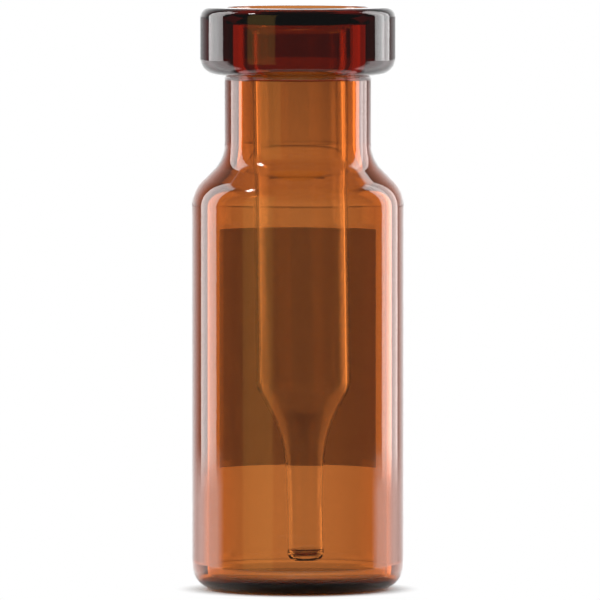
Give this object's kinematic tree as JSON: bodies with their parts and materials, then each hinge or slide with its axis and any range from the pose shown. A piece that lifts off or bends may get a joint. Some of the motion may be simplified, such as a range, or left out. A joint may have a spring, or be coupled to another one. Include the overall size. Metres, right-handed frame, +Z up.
{
  "type": "glass sample vial",
  "caption": "Crimp-top sample vial of amber glass with a conical micro-insert of clear glass seated in its mouth and a white marking patch on its back.",
  "frame": {"origin": "centre of the foot, on the plane that the vial stands on", "axes": "+Z up the vial's axis towards its mouth, +Y towards the marking patch, +X to the right when the patch faces away; the insert's tip leans towards +X"},
  "size_m": [0.0116, 0.0116, 0.0318],
  "materials": {
    "amber_glass": "polished amber",
    "clear_glass": "polished clear",
    "white_enamel": "fired matte enamel"
  },
  "bodies": {
    "root": {"vial_body": "amber_glass", "insert": "clear_glass", "marking_patch": "white_enamel"}
  },
  "joints": []
}
